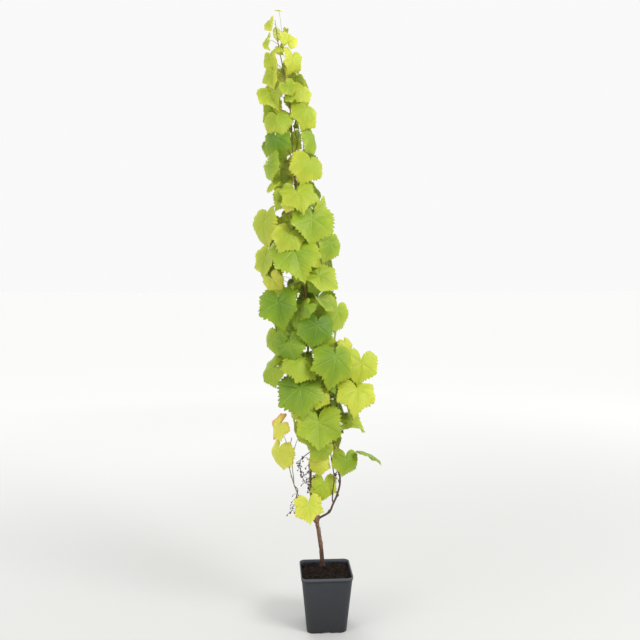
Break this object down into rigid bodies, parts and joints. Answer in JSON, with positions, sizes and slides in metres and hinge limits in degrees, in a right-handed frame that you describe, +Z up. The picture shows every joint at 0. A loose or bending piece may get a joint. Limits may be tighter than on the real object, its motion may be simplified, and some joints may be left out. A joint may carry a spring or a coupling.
{
  "type": "potted grapevine",
  "caption": "Young grapevine in a square tapered nursery pot: a low woody fork, slender canes and a tall slim column of broad, shallow-lobed leaves.",
  "frame": {"origin": "centre of the pot's flat underside", "axes": "+Z up, -Y out of the pot's front face, +X to the right of someone facing that face"},
  "size_m": [0.4655, 0.2851, 2.2318],
  "materials": {
    "pot_plastic": "moulded dark grey plastic, faint sheen",
    "potting_mix": "moist crumbly dark potting mix",
    "old_bark": "shredding grey-brown vine bark",
    "ripe_cane": "ripened reddish-brown cane, fine lengthwise grain",
    "green_cane": "smooth green shoot",
    "vine_leaf": "matt yellow-green leaf with paler veins"
  },
  "bodies": {
    "root": {"pot": "pot_plastic", "potting_soil": "potting_mix", "trunk": "old_bark", "leader": "ripe_cane", "right_arm": "ripe_cane", "inner_arm": "ripe_cane", "left_arm": "green_cane", "foliage_tip": "vine_leaf", "foliage_top_front": "vine_leaf", "foliage_top_back": "vine_leaf", "foliage_upper_front": "vine_leaf", "foliage_upper_left": "vine_leaf", "foliage_upper_right": "vine_leaf", "foliage_high_front": "vine_leaf", "foliage_high_left": "vine_leaf", "foliage_high_right": "vine_leaf", "foliage_mid_high_front": "vine_leaf", "foliage_mid_high_left": "vine_leaf", "foliage_mid_high_back": "vine_leaf", "foliage_middle_front": "vine_leaf", "foliage_middle_left": "vine_leaf", "foliage_middle_back": "vine_leaf", "foliage_mid_low_front": "vine_leaf", "foliage_mid_low_left": "vine_leaf", "foliage_mid_low_back": "vine_leaf", "foliage_lower_front": "vine_leaf", "foliage_lower_left": "vine_leaf", "foliage_lower_right": "vine_leaf", "foliage_lower_back": "vine_leaf", "foliage_skirt_front": "vine_leaf", "foliage_skirt_right": "vine_leaf", "foliage_skirt_back": "vine_leaf", "foliage_low_left": "vine_leaf", "foliage_low_right": "vine_leaf", "foliage_low_front": "vine_leaf"}
  },
  "joints": []
}
